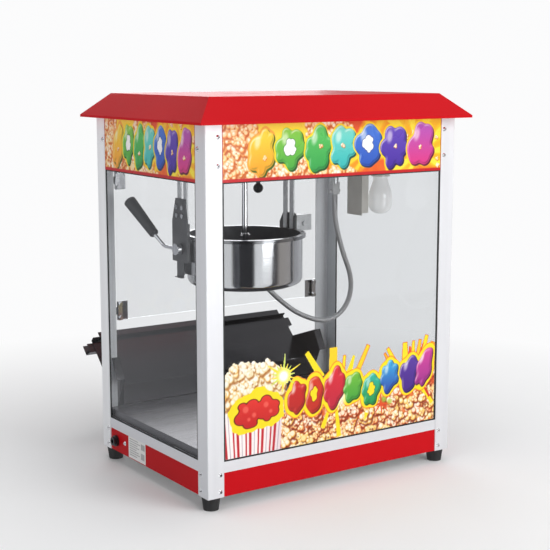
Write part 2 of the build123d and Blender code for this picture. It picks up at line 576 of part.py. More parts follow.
MOVING = ((-119.0, -41.0), (41.0, 119.0))
FIXED = ((-200.0, -120.0), (-40.0, 40.0), (120.0, 200.0))
with BuildPart() as bin_panel:
    # panel, inward hem and its return
    with BuildSketch(bin_plane(-BIN_HW)):
        with BuildLine():
            Polyline((4.2, -0.6), (151.6, -0.6), (151.6, 8.4), (162.0, 8.4), (162.0, 9.6),
                     (150.4, 9.6), (150.4, 0.6), (4.2, 0.6), (4.2, -0.6))
        make_face()
    extrude(amount=2 * BIN_HW)
    # the return is cut back at both ends
    for sx in (-1, 1):
        with BuildSketch(bin_plane(sx * BIN_HW)):
            with Locations((158.0, 9.0)):
                Rectangle(12.2, 4.0)
        extrude(amount=-sx * 14.0, mode=Mode.SUBTRACT)
    # cheeks with an outward flange along the leading edge
    for sx in (-1, 1):
        with BuildSketch(bin_plane(sx * BIN_HW)):
            with BuildLine():
                Polyline((8, 0), (101, 0), (65, 71), (25, 58), (15, 29), (8, 0))
            make_face()
        extrude(amount=-sx * 1.2)
        with BuildSketch(bin_plane(sx * BIN_HW)):
            with BuildLine():
                Polyline((65, 71), (25, 58), (25.4, 56.8), (65.4, 69.8), (65, 71))
            make_face()
        extrude(amount=sx * 14.0)
        # folded corner joins the flange and the cheek
        with BuildSketch(bin_plane(sx * (BIN_HW - 1.2))):
            with BuildLine():
                Polyline((65, 71), (25, 58), (25.4, 56.8), (65.4, 69.8), (65, 71))
            make_face()
        extrude(amount=sx * 3.0)
    # hinge knuckles
    for x0, x1 in MOVING:
        round_x(x0, x1, BIN_Y, BIN_Z, 3.0)
        with BuildSketch(bin_plane(x0)):
            with BuildLine():
                Polyline((0, 0), (1.5, -0.6), (4.6, -0.6), (4.6, 0.6), (1.5, 0.6), (0, 0))
            make_face()
        extrude(amount=x1 - x0)
        round_x(x0 - 1, x1 + 1, BIN_Y, BIN_Z, 1.5 + FIT, mode=Mode.SUBTRACT)
keep(bin_panel.part, "bin_panel")

with BuildPart() as bin_handle:
    with BuildSketch(bin_plane(-228.0)):
        with BuildLine():
            Polyline((146, -0.62), (126.6, -0.62), (132.8, -19.2), (153, -19.2), (153, -18.0),
                     (133.7, -18.0), (128.3, -1.8), (146, -1.8), (146, -0.62))
        make_face()
    extrude(amount=456.0)
keep(bin_handle.part, "bin_handle")

with BuildPart() as bin_hinge:
    block(-200, 200, 182.45, 183.7, 45.0, BIN_Z - 3.6)
    for x0, x1 in FIXED:
        round_x(x0, x1, BIN_Y, BIN_Z, 3.0)
        block(x0, x1, 182.45, 183.7, BIN_Z - 4.0, BIN_Z - 2.0)
    round_x(-200, 200, BIN_Y, BIN_Z, 1.5)
    for xx in range(-180, 181, 60):
        round_y(xx, 183.7, 184.6, 52.0, 2.6)
keep(bin_hinge.part, "bin_hinge")

# ======================= switches on the rear header =====================
with BuildPart() as switch_bezels:
    for xx in SW_X:
        with BuildSketch(facing(182.62, xx, SW_Z)):
            RectangleRounded(24.6, 30.6, 2.0)
            Rectangle(18.6, 24.6, mode=Mode.SUBTRACT)
        extrude(amount=-1.9)
        with BuildSketch(facing(182.62, xx, SW_Z)):
            Rectangle(20.6, 26.6)
            Rectangle(18.6, 24.6, mode=Mode.SUBTRACT)
        extrude(amount=20.0)
        block(xx - 10.3, xx + 10.3, 161.0, 162.7, SW_Z - 13.3, SW_Z + 13.3)
keep(switch_bezels.part, "switch_bezels")
for name, xx in (("rocker_heat", SW_X[0]), ("rocker_stir", SW_X[1]), ("rocker_light", SW_X[2])):
    with BuildPart() as rocker:
        tilt = math.radians(-9.0)
        with BuildSketch(Plane(origin=at(xx - 8.9, 179.0, SW_Z), x_dir=(0, math.cos(tilt), math.sin(tilt)),
                               z_dir=(1, 0, 0))):
            with BuildLine():
                Polyline((-6, -9.0), (5.2, -11.2), (7.4, -10.8), (4.6, 0), (7.4, 10.8), (5.2, 11.2),
                         (-6, 9.0), (-6, -9.0))
            make_face()
        extrude(amount=17.8)
        round_x(xx - 9.2, xx + 9.2, 179.0, SW_Z, 1.6)
    keep(rocker.part, name)

lo = [min(tuple(p.bounding_box().min)[i] for p in made.values()) for i in range(3)]
hi = [max(tuple(p.bounding_box().max)[i] for p in made.values()) for i in range(3)]
print("nodes", len(made), "low", [round(v, 2) for v in lo], "high", [round(v, 2) for v in hi])
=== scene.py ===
import math
import random

import bmesh
import bpy
import numpy as np
from mathutils import Matrix, Vector


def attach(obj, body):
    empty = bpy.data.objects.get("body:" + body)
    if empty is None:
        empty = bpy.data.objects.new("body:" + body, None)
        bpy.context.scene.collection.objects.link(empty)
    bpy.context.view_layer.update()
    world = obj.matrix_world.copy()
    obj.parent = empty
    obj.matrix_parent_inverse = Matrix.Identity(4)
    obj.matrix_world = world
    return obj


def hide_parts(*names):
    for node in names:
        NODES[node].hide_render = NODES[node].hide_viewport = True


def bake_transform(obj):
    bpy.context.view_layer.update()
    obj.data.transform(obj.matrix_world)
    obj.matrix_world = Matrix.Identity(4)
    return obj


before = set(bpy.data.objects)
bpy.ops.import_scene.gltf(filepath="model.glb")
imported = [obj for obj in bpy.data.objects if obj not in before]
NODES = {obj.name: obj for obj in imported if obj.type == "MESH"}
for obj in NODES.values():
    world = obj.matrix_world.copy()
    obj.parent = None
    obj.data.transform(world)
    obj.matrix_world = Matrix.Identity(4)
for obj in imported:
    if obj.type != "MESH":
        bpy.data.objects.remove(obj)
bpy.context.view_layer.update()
scene = bpy.context.scene
YC, ZF = -0.0504, 0.022


def at(x, y, z):
    """Cabinet millimetres to the row's frame in metres."""
    return Vector((x / 1000, y / 1000 + YC, z / 1000 + ZF))


# ---------------------------------------------------------------- camera
AZ, PITCH = math.radians(-34.049), math.radians(9.297)
cam_data = bpy.data.cameras.new("camera")
cam = bpy.data.objects.new("camera", cam_data)
scene.collection.objects.link(cam)
scene.camera = cam
cam_data.sensor_width = 36.0
cam_data.lens = 1275.374 * 36.0 / 550.0
cam_data.clip_start, cam_data.clip_end = 0.05, 60.0
fwd = Vector((-math.sin(AZ) * math.cos(PITCH), math.cos(AZ) * math.cos(PITCH), -math.sin(PITCH)))
right = Vector((math.cos(AZ), math.sin(AZ), 0.0))
up = right.cross(fwd)
rot = Matrix((right, up, -fwd)).transposed()
cam.matrix_world = Matrix.Translation(Vector((-1.24016, -1.88678, 0.69711))) @ rot.to_4x4()


# ---------------------------------------------------------------- materials
def lin(c):
    """Display colour 0..1 to scene-linear."""
    c = np.asarray(c, float)
    return np.where(c <= 0.04045, c / 12.92, ((c + 0.055) / 1.055) ** 2.4)


def hexa(h):
    return np.array([int(h[i:i + 2], 16) / 255 for i in (0, 2, 4)])


class Mat:
    """A node material around one Principled shader."""

    def __init__(self, name):
        self.m = bpy.data.materials.new(name)
        self.m.use_nodes = True
        self.nt = self.m.node_tree
        self.b = self.nt.nodes["Principled BSDF"]
        self.tc = self.nt.nodes.new("ShaderNodeTexCoord")

    def link(self, a, b):
        self.nt.links.new(a, b)

    def noise(self, scale, detail=3.0, rough=0.5, source="Object", distortion=0.0):
        mp = self.nt.nodes.new("ShaderNodeMapping")
        self.link(self.tc.outputs[source], mp.inputs["Vector"])
        mp.inputs["Scale"].default_value = scale
        n = self.nt.nodes.new("ShaderNodeTexNoise")
        self.link(mp.outputs[0], n.inputs["Vector"])
        n.inputs["Scale"].default_value = 1.0
        n.inputs["Detail"].default_value = detail
        n.inputs["Roughness"].default_value = rough
        n.inputs["Distortion"].default_value = distortion
        return n.outputs["Fac"]

    def ramp(self, fac, a, b, lo=0.3, hi=0.7):
        r = self.nt.nodes.new("ShaderNodeMapRange")
        self.link(fac, r.inputs["Value"])
        r.inputs["From Min"].default_value, r.inputs["From Max"].default_value = lo, hi
        r.inputs["To Min"].default_value, r.inputs["To Max"].default_value = a, b
        return r.outputs["Result"]

    def colours(self, fac, a, b, lo=0.3, hi=0.7):
        r = self.nt.nodes.new("ShaderNodeValToRGB")
        self.link(fac, r.inputs["Fac"])
        r.color_ramp.elements[0].position, r.color_ramp.elements[1].position = lo, hi
        r.color_ramp.elements[0].color = (*a, 1)
        r.color_ramp.elements[1].color = (*b, 1)
        return r.outputs["Color"]

    def bump(self, fac, strength, distance, under=None):
        n = self.nt.nodes.new("ShaderNodeBump")
        n.inputs["Strength"].default_value = strength
        n.inputs["Distance"].default_value = distance
        self.link(fac, n.inputs["Height"])
        if under is not None:
            self.link(under, n.inputs["Normal"])
        self.link(n.outputs[0], self.b.inputs["Normal"])
        return n.outputs[0]


def finish(name, colour, metal=0.0, rough=0.5, vary=0.05, scale=(9, 9, 9), fine=(420, 420, 420), bump=0.15,
           depth=0.0002, rough_vary=0.06, coat=0.0, spec=0.5, detail=3.0):
    """Paint, plastic, rubber or metal: colour drift, roughness drift and a fine surface grain."""
    m = Mat(name)
    c = np.array(colour, float)
    m.link(m.colours(m.noise(scale, detail), tuple(c * (1 - vary)), tuple(np.minimum(c * (1 + vary), 1))),
           m.b.inputs["Base Color"])
    m.b.inputs["Metallic"].default_value = metal
    m.b.inputs["Specular IOR Level"].default_value = spec
    m.b.inputs["Coat Weight"].default_value = coat
    m.b.inputs["Coat Roughness"].default_value = 0.12
    grain = m.noise(fine, 2.0)
    m.link(m.ramp(grain, max(rough - rough_vary, 0.02), min(rough + rough_vary, 1)), m.b.inputs["Roughness"])
    if bump:
        m.bump(grain, bump, depth)
    return m.m


RED = lin(hexa("C4121B"))
MATS = {
    "red": finish("red_powder_coat", RED, rough=0.36, vary=0.04, fine=(900, 900, 900), bump=0.10, depth=0.0001,
                  spec=0.06, coat=0.0, scale=(5, 5, 5)),
    "alu_z": finish("satin_aluminium_upright", (0.79, 0.80, 0.83), metal=0.35, rough=0.42, vary=0.03,
                    fine=(1500, 1500, 9), bump=0.07, depth=0.00005, rough_vary=0.10, scale=(60, 60, 3)),
    # painted light: the rear posts are the same aluminium as the front ones; this copy is made paler and less metallic
    # so their shaded faces come out bright
    "alu_rear_painted_light": finish("upright_aluminium_painted_lighter", (0.92, 0.93, 0.95), metal=0.05, rough=0.40, vary=0.03,
                       fine=(1500, 1500, 9), bump=0.07, depth=0.00005, rough_vary=0.10, scale=(60, 60, 3)),
    "alu_x": finish("satin_aluminium_rail", (0.79, 0.80, 0.83), metal=0.35, rough=0.42, vary=0.03,
                    fine=(9, 9, 1500), bump=0.07, depth=0.00005, rough_vary=0.10, scale=(3, 3, 60)),
    "polished": finish("polished_steel", (0.62, 0.62, 0.63), metal=1.0, rough=0.11, vary=0.05,
                       fine=(30, 30, 1800), bump=0.03, depth=0.00004, rough_vary=0.05, scale=(14, 14, 3)),
    # painted shade: the deck's base colour is set far darker than bare stainless steel, standing in for the dark
    # cabinet interior it mirrors
    "deck": finish("deck_stainless_painted_dark", (0.165, 0.160, 0.170), metal=0.9, rough=0.30, vary=0.08,
                   fine=(12, 1300, 1300), bump=0.06, depth=0.00005, rough_vary=0.08, scale=(4, 40, 40)),
    # painted shade: the bin and kick panel's base colour is set far darker than bare stainless steel, standing in for
    # the dark reflections the steel shows
    "bin": finish("bin_stainless_painted_dark", (0.078, 0.076, 0.080), metal=0.9, rough=0.20, vary=0.10,
                  fine=(10, 1100, 1100), bump=0.05, depth=0.00005, rough_vary=0.05, scale=(3, 30, 30)),
    "zinc": finish("zinc_plate", (0.70, 0.71, 0.72), metal=0.5, rough=0.33, vary=0.10,
                   fine=(700, 700, 700), bump=0.06, depth=0.00006, rough_vary=0.08, scale=(70, 70, 70)),
    "galv": finish("galvanised_sheet", (0.52, 0.53, 0.53), metal=0.6, rough=0.42, vary=0.12,
                   fine=(350, 350, 350), bump=0.05, depth=0.00006, rough_vary=0.10, scale=(120, 120, 120)),
    "chrome": finish("bright_plate", (0.80, 0.80, 0.82), metal=1.0, rough=0.12, vary=0.04,
                     fine=(800, 800, 800), bump=0.03, depth=0.00004, rough_vary=0.05, scale=(60, 60, 60)),
    "dark": finish("dark_bracket_paint", (0.075, 0.077, 0.080), rough=0.40, vary=0.15, fine=(900, 900, 900),
                   bump=0.12, depth=0.0001, scale=(50, 50, 50)),
    "pot": finish("pot_non_stick", (0.045, 0.044, 0.045), metal=0.4, rough=0.34, vary=0.25,
                  fine=(1200, 1200, 1200), bump=0.12, depth=0.00008, scale=(60, 60, 60)),
    "rubber": finish("black_rubber", (0.012, 0.012, 0.013), rough=0.62, vary=0.3, fine=(1600, 1600, 1600),
                     bump=0.35, depth=0.00015, scale=(90, 90, 90)),
    "plastic": finish("black_moulding", (0.014, 0.014, 0.016), rough=0.30, vary=0.2, fine=(1500, 1500, 1500),
                      bump=0.18, depth=0.0001, scale=(80, 80, 80), coat=0.15),
    "grip": finish("black_grip", (0.006, 0.006, 0.0065), rough=0.42, vary=0.25, fine=(1100, 1100, 1100),
                   bump=0.30, depth=0.00018, scale=(90, 90, 90)),
    "silicone": finish("silicone_pad", (0.42, 0.13, 0.06), rough=0.55, vary=0.1, fine=(900, 900, 900),
                       bump=0.3, depth=0.0002, scale=(60, 60, 60)),
    "lampplate": finish("lamp_plate", tuple(lin(hexa("D2CFC8"))), metal=0.05, rough=0.45, vary=0.07,
                        fine=(600, 600, 600), bump=0.08, depth=0.00006, scale=(30, 30, 30)),
    "socket": finish("lamp_socket_porcelain", (0.74, 0.72, 0.67), rough=0.30, vary=0.05, fine=(600, 600, 600),
                     bump=0.05, depth=0.00006, scale=(40, 40, 40), coat=0.3),
}


def clear(name, tint, gloss_rough=0.015, ior=1.46):
    """A clear pane: light goes straight through, with a Fresnel shine on top and faint wipe marks."""
    m = Mat(name)
    nt = m.nt
    out = next(n for n in nt.nodes if n.type == "OUTPUT_MATERIAL")
    nt.nodes.remove(m.b)
    tr = nt.nodes.new("ShaderNodeBsdfTransparent")
    tr.inputs["Color"].default_value = (*tint, 1)
    gl = nt.nodes.new("ShaderNodeBsdfGlossy")
    gl.inputs["Color"].default_value = (0.93, 0.94, 0.95, 1)
    m.link(m.ramp(m.noise((6, 6, 6), 4.0), gloss_rough, gloss_rough + 0.03), gl.inputs["Roughness"])
    lw = nt.nodes.new("ShaderNodeLayerWeight")
    lw.inputs["Blend"].default_value = 0.5
    pw = nt.nodes.new("ShaderNodeMath")
    pw.operation = "POWER"
    m.link(lw.outputs["Facing"], pw.inputs[0])
    pw.inputs[1].default_value = 5.0
    r0 = ((ior - 1) / (ior + 1)) ** 2
    mix = nt.nodes.new("ShaderNodeMixShader")
    m.link(m.ramp(pw.outputs[0], r0, 1.0, 0.0, 1.0), mix.inputs["Fac"])
    m.link(tr.outputs[0], mix.inputs[1])
    m.link(gl.outputs[0], mix.inputs[2])
    m.link(mix.outputs[0], out.inputs["Surface"])
    return m.m


pot = Mat("pot_lined_steel")
sep = pot.nt.nodes.new("ShaderNodeVectorMath")
sep.operation = "SUBTRACT"
pot.link(pot.tc.outputs["Object"], sep.inputs[0])
sep.inputs[1].default_value = tuple(at(-62, 0, 0))
flat = pot.nt.nodes.new("ShaderNodeVectorMath")
flat.operation = "MULTIPLY"
pot.link(sep.outputs[0], flat.inputs[0])
flat.inputs[1].default_value = (1, 1, 0)
rad = pot.nt.nodes.new("ShaderNodeVectorMath")
rad.operation = "LENGTH"
pot.link(flat.outputs[0], rad.inputs[0])
lip = pot.ramp(rad.outputs["Value"], 0.0, 1.0, 0.0982, 0.0988)
pick = pot.nt.nodes.new("ShaderNodeMix")
pick.data_type = "RGBA"
pot.link(lip, pick.inputs["Factor"])
pot.link(pot.colours(pot.noise((60, 60, 60)), (0.105, 0.105, 0.110), (0.150, 0.150, 0.156)), pick.inputs["A"])
pot.link(pot.colours(pot.noise((14, 14, 3)), (0.26, 0.26, 0.27), (0.34, 0.34, 0.35)), pick.inputs["B"])
pot.link(pick.outputs["Result"], pot.b.inputs["Base Color"])
pot.link(pot.ramp(lip, 0.35, 1.0, 0, 1), pot.b.inputs["Metallic"])
grain = pot.noise((1200, 1200, 1200), 2)
lipr = pot.nt.nodes.new("ShaderNodeMath")
lipr.operation = "MULTIPLY_ADD"
pot.link(lip, lipr.inputs[0])
lipr.inputs[1].default_value = -0.16
pot.link(pot.ramp(grain, 0.28, 0.38), lipr.inputs[2])
pot.link(lipr.outputs[0], pot.b.inputs["Roughness"])
pot.bump(grain, 0.10, 0.00008)
MATS["pot"] = pot.m
MATS["glass"] = clear("clear_pane", (0.945, 0.952, 0.957))
MATS["acrylic"] = clear("clear_door", (0.985, 0.988, 0.99), 0.03, 1.49)
bulb = Mat("frosted_bulb")
bulb.link(bulb.colours(bulb.noise((70, 70, 30), 3), (0.86, 0.86, 0.85), (0.95, 0.95, 0.94)),
          bulb.b.inputs["Base Color"])
bulb.link(bulb.ramp(bulb.noise((900, 900, 900), 2), 0.18, 0.34), bulb.b.inputs["Roughness"])
# painted light: the bulb is not switched on; a faint white emission brightens it in place of light falling on it
bulb.b.inputs["Emission Color"].default_value = (1, 1, 0.99, 1)
bulb.b.inputs["Emission Strength"].default_value = 0.22
bulb.b.inputs["Coat Weight"].default_value = 0.8
bulb.b.inputs["Coat Roughness"].default_value = 0.04
MATS["bulb"] = bulb.m
rk = Mat("rocker_red")
rk.link(rk.colours(rk.noise((200, 200, 200), 3), (0.36, 0.012, 0.014), (0.46, 0.02, 0.02)), rk.b.inputs["Base Color"])
rk.link(rk.ramp(rk.noise((1500, 1500, 1500), 2), 0.16, 0.30), rk.b.inputs["Roughness"])
rk.b.inputs["Transmission Weight"].default_value = 0.15
rk.b.inputs["Coat Weight"].default_value = 0.4
MATS["rocker"] = rk.m

USE = {
    "feet": "rubber", "base_skirt": "red", "base_pan": "galv", "lower_rails": "alu_x",
    "post_front_left": "alu_z", "post_front_right": "alu_z", "post_rear_left": "alu_rear_painted_light", "post_rear_right": "alu_rear_painted_light",
    "front_glass": "glass", "left_glass": "glass", "right_glass": "glass", "glass_gaskets": "rubber",
    "header_front": "red", "header_left": "red", "header_right": "red", "header_rear": "red",
    "ceiling_plate": "galv", "roof_canopy": "red", "cabinet_screws": "chrome", "cable_glands": "plastic",
    "warming_deck": "deck", "deck_heater": "silicone", "kick_panel": "bin",
    "hanger_left": "zinc", "hanger_right": "zinc", "pivot_plate_left": "dark", "pivot_plate_right": "dark",
    "hanger_bolts": "chrome", "catch_bracket": "zinc", "lamp_bracket": "lampplate", "lamp_socket": "socket",
    "lamp_bulb": "bulb", "gear_motor": "zinc", "drive_coupling": "chrome", "lead_connector": "zinc",
    "kettle_pot": "pot", "kettle_jacket": "polished", "kettle_heater": "galv", "kettle_base_cover": "dark",
    "kettle_lugs": "polished", "pivot_pins": "chrome", "tilt_rod": "chrome", "tilt_grip": "grip",
    "kettle_terminal": "plastic", "agitator_shaft": "chrome", "agitator_blades": "polished",
    "door_left": "acrylic", "door_right": "acrylic", "hinge_leaves_left": "chrome", "hinge_leaves_right": "chrome",
    "hinge_posts": "chrome", "bin_panel": "bin", "bin_handle": "bin", "bin_hinge": "zinc",
    "switch_bezels": "plastic", "rocker_heat": "rocker", "rocker_stir": "rocker", "rocker_light": "rocker",
}
for name, key in USE.items():
    mesh = NODES[name].data
    mesh.materials.clear()
    mesh.materials.append(MATS[key])


# ---------------------------------------------------------------- helpers for pieces
def new_object(name, mesh, body="cabinet", smooth=False):
    ob = bpy.data.objects.new(name, mesh)
    scene.collection.objects.link(ob)
    if smooth:
        for p in mesh.polygons:
            p.use_smooth = True
    if body:
        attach(ob, body)
    return ob


# ---------------------------------------------------------------- the kettle's lead
LEAD = [(-5, 34, 296), (14.8, 33, 274.8), (57, 33, 240.5), (83.6, 31.8, 225.5), (114.5, 31, 213.4),
        (141.9, 30.2, 210.6), (167.5, 29.4, 220.9), (185.2, 28.4, 242), (191, 27.2, 269), (186.5, 26, 297),
        (173, 24.8, 325.5), (160.8, 23.4, 356), (151, 21.9, 386), (144.6, 20, 416.5), (144.6, 20, 445.6)]
curve = bpy.data.curves.new("lead_route", "CURVE")
curve.dimensions = "3D"
curve.resolution_u = 24
spline = curve.splines.new("NURBS")
spline.points.add(len(LEAD) - 1)
for p, c in zip(spline.points, LEAD):
    p.co = (*at(*c), 1.0)
spline.order_u = 3
spline.use_endpoint_u = True
holder = bpy.data.objects.new("lead_route", curve)
scene.collection.objects.link(holder)
bpy.context.view_layer.update()
read = bpy.data.meshes.new_from_object(holder)
line = [v.co.copy() for v in read.vertices]
bpy.data.objects.remove(holder)
bpy.data.meshes.remove(read)


def tube(name, pts, radius, sides=22):
    """A tube mesh along points, with UVs: u round it, v along it, both in metres."""
    keep = [pts[0]]
    for p in pts[1:]:
        if (p - keep[-1]).length > 1e-5:
            keep.append(p)
    pts = keep
    tang = [((pts[min(i + 1, len(pts) - 1)] - pts[max(i - 1, 0)]).normalized()) for i in range(len(pts))]
    n = tang[0].orthogonal().normalized()
    verts, faces, uvs, run = [], [], [], 0.0
    runs = []
    for i, p in enumerate(pts):
        if i:
            run += (p - pts[i - 1]).length
        runs.append(run)
        t = tang[i]
        n = (n - t * n.dot(t)).normalized()
        b = t.cross(n)
        for k in range(sides):
            a = 2 * math.pi * k / sides
            verts.append(p + (n * math.cos(a) + b * math.sin(a)) * radius)
    for i in range(len(pts) - 1):
        for k in range(sides):
            k2 = (k + 1) % sides
            faces.append((i * sides + k, i * sides + k2, (i + 1) * sides + k2, (i + 1) * sides + k))
            for kk, ii in ((k, i), (k + 1, i), (k + 1, i + 1), (k, i + 1)):
                uvs.append((kk / sides * 2 * math.pi * radius, runs[ii]))
    faces.append(tuple(reversed(range(sides))))
    faces.append(tuple((len(pts) - 1) * sides + k for k in range(sides)))
    uvs += [(0, 0)] * (2 * sides)
    me = bpy.data.meshes.new(name)
    me.from_pydata([tuple(v) for v in verts], [], faces)
    layer = me.uv_layers.new(name="along")
    layer.data.foreach_set("uv", np.array(uvs, np.float32).ravel())
    for p in me.polygons:
        p.use_smooth = len(p.vertices) == 4
    me.update()
    return me


braid = Mat("braided_conduit")
uvn = braid.nt.nodes.new("ShaderNodeUVMap")
uvn.uv_map = "along"
heights = []
for sign in (1, -1):
    mp = braid.nt.nodes.new("ShaderNodeMapping")
    braid.link(uvn.outputs[0], mp.inputs["Vector"])
    mp.inputs["Rotation"].default_value = (0, 0, sign * math.radians(38))
    mp.inputs["Scale"].default_value = (1000 / 1.413717, 1000 / 1.413717, 1)
    wv = braid.nt.nodes.new("ShaderNodeTexWave")
    wv.wave_type, wv.bands_direction = "BANDS", "X"
    wv.inputs["Scale"].default_value = 0.22
    wv.inputs["Distortion"].default_value = 0.4
    braid.link(mp.outputs[0], wv.inputs["Vector"])
    heights.append(wv.outputs["Fac"])
mul = braid.nt.nodes.new("ShaderNodeMath")
mul.operation = "MULTIPLY"
braid.link(heights[0], mul.inputs[0])
braid.link(heights[1], mul.inputs[1])
braid.link(braid.colours(mul.outputs[0], (0.30, 0.30, 0.305), (0.86, 0.86, 0.88), 0.05, 0.55),
           braid.b.inputs["Base Color"])
braid.b.inputs["Metallic"].default_value = 0.85
braid.link(braid.ramp(mul.outputs[0], 0.5, 0.28, 0, 1), braid.b.inputs["Roughness"])
braid.bump(mul.outputs[0], 0.8, 0.0004)
lead = bpy.data.objects.new("kettle_lead_conduit", tube("kettle_lead_conduit", line, 0.0045))
scene.collection.objects.link(lead)
lead.data.materials.append(braid.m)
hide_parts("kettle_lead")
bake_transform(lead)


# ---------------------------------------------------------------- prints, painted in code
class Print:
    """A flat print as a fine grid: each point gets a colour that code works out, and a coverage for cut-outs."""

    def __init__(self, s0, s1, z0, z1, pitch, seed):
        self.s = np.linspace(s0, s1, int(round((s1 - s0) / pitch)) + 1)
        self.z = np.linspace(z0, z1, int(round((z1 - z0) / pitch)) + 1)
        self.S, self.Z = np.meshgrid(self.s, self.z)
        self.rgb = np.ones(self.S.shape + (3,))
        self.on = np.zeros(self.S.shape)
        self.p = pitch
        self.rng = random.Random(seed)

    def win(self, s0, s1, z0, z1):
        a, b = np.searchsorted(self.s, (s0, s1))
        c, d = np.searchsorted(self.z, (z0, z1))
        return slice(max(c - 1, 0), d + 1), slice(max(a - 1, 0), b + 1)

    def lay(self, sd, colour, w=(slice(None), slice(None)), strength=1.0, soft=0.0, cover=True):
        """Colours where the signed distance sd is negative."""
        m = np.clip(0.5 - sd / max(soft, self.p), 0, 1) * strength
        self.rgb[w] = self.rgb[w] * (1 - m[..., None]) + np.asarray(colour) * m[..., None]
        if cover:
            self.on[w] = np.maximum(self.on[w], m)

    def disc(self, s, z, r, colour, strength=1.0, soft=0.0, cover=True):
        q = r + max(soft, self.p)
        w = self.win(s - q, s + q, z - q, z + q)
        if self.S[w].size:
            self.lay(np.hypot(self.S[w] - s, self.Z[w] - z) - r, colour, w, strength, soft, cover)

    def popped(self, s, z, size, tones, cover=True, shade=0.75):
        """One popped kernel: uneven lobes with a shadow below, a warm rim and a pale crown."""
        rng = self.rng
        n, a0 = rng.randint(3, 5), rng.uniform(0, 6.3)
        lobes = [(0, 0, size * rng.uniform(0.40, 0.52))]
        for i in range(n):
            a, d = a0 + i * 6.2832 / n + rng.uniform(-0.5, 0.5), size * rng.uniform(0.34, 0.60)
            lobes.append((d * math.cos(a), d * math.sin(a), size * rng.uniform(0.22, 0.46)))
        dark, warm, pale = (tones[0], tones[1 + rng.randrange(2)], tones[3 + rng.randrange(2)])
        for x, y, r in lobes:
            self.disc(s + x + 0.12 * size, z + y - 0.20 * size, r * 1.16, dark, shade, size * 0.22, cover)
        rng.shuffle(lobes)
        for x, y, r in lobes:
            self.disc(s + x, z + y, r, warm, 1.0, size * 0.10, cover)
            self.disc(s + x - 0.12 * r, z + y + 0.16 * r, r * 0.84, pale, 0.92, size * 0.16, False)
            if rng.random() < 0.7:
                self.disc(s + x - 0.25 * r, z + y + 0.34 * r, r * 0.40, (1, 1, 0.96), 0.75, size * 0.12, False)
        for _ in range(rng.randrange(3)):
            self.disc(s + rng.uniform(-.35, .35) * size, z + rng.uniform(-.4, .15) * size, size * rng.uniform(0.08, 0.18),
                      tones[rng.randrange(2) * 2], 0.75, size * 0.12, False)

    def pile(self, inside, step, size, tones, cover=True):
        """Kernels all over the area that inside(s, z) says, laid in random order."""
        rng, spots = self.rng, []
        z = self.z[0] - step
        while z < self.z[-1] + step:
            s = self.s[0] - step
            while s < self.s[-1] + step:
                p = (s + rng.uniform(-.45, .45) * step, z + rng.uniform(-.45, .45) * step)
                if inside(*p):
                    spots.append(p)
                s += step
            z += step
        rng.shuffle(spots)
        for p in spots:
            self.popped(p[0], p[1], size * rng.uniform(0.75, 1.25), tones, cover)

    def poly(self, pts, grow=0.0):
        """Signed distance to a closed outline."""
        pts = np.array(pts, float)
        d = np.full(self.S.shape, 1e9)
        inside = np.zeros(self.S.shape, bool)
        for (x0, y0), (x1, y1) in zip(pts, np.roll(pts, -1, 0)):
            ex, ey = x1 - x0, y1 - y0
            t = np.clip(((self.S - x0) * ex + (self.Z - y0) * ey) / (ex * ex + ey * ey), 0, 1)
            d = np.minimum(d, np.hypot(self.S - x0 - t * ex, self.Z - y0 - t * ey))
            cross = ((y0 > self.Z) != (y1 > self.Z))
            with np.errstate(divide="ignore", invalid="ignore"):
                xx = x0 + (self.Z - y0) * ex / ey if ey else np.inf
            inside ^= cross & (self.S < xx)
        return np.where(inside, -d, d) - grow

    def puff(self, s, z, w, h, tilt, seed, k=5.0):
        """Signed distance to a puffed kernel that fills a w x h box turned by tilt: a broad body with soft lobes of different sizes."""
        rng = random.Random(seed)
        c, n = math.cos(tilt), math.sin(tilt)
        spots = [(0.0, 0.0, 0.36, 0.36)]
        a0 = rng.uniform(0, 6.2832)
        for i in range(6):
            a = a0 + 6.2832 * i / 6 + rng.uniform(-0.42, 0.42)
            big = rng.uniform(0.13, 0.27)
            spots.append(((0.50 - big) * math.cos(a), (0.50 - big * 0.9) * math.sin(a), big, big * 0.9))
        out = None
        for x, y, rx, ry in spots:
            lx, ly = x * w, y * h
            px, pz = s + lx * c - ly * n, z + lx * n + ly * c
            dx, dz = self.S - px, self.Z - pz
            u, v = dx * c + dz * n, -dx * n + dz * c
            d = (np.hypot(u / (rx * w), v / (ry * h)) - 1) * min(rx * w, ry * h)
            if out is None:
                out = d
            else:
                hh = np.clip(0.5 + 0.5 * (out - d) / k, 0, 1)
                out = out * (1 - hh) + d * hh - k * hh * (1 - hh)
        return out


WARM = [hexa("C4551C"), hexa("F4AC50"), hexa("EA8A3C"), hexa("FFE7B4"), hexa("FFF4DC")]
RICH = [hexa("7E2208"), hexa("F2B23C"), hexa("D85A1A"), hexa("FFE9A8"), hexa("FFF6DE")]
PALE = [hexa("B06A2A"), hexa("F4C262"), hexa("EFD9A0"), hexa("FFF6DE"), hexa("FFFCF2")]


def toned(a, b, t):
    return np.asarray(a)[None, None] * (1 - t[..., None]) + np.asarray(b)[None, None] * t[..., None]


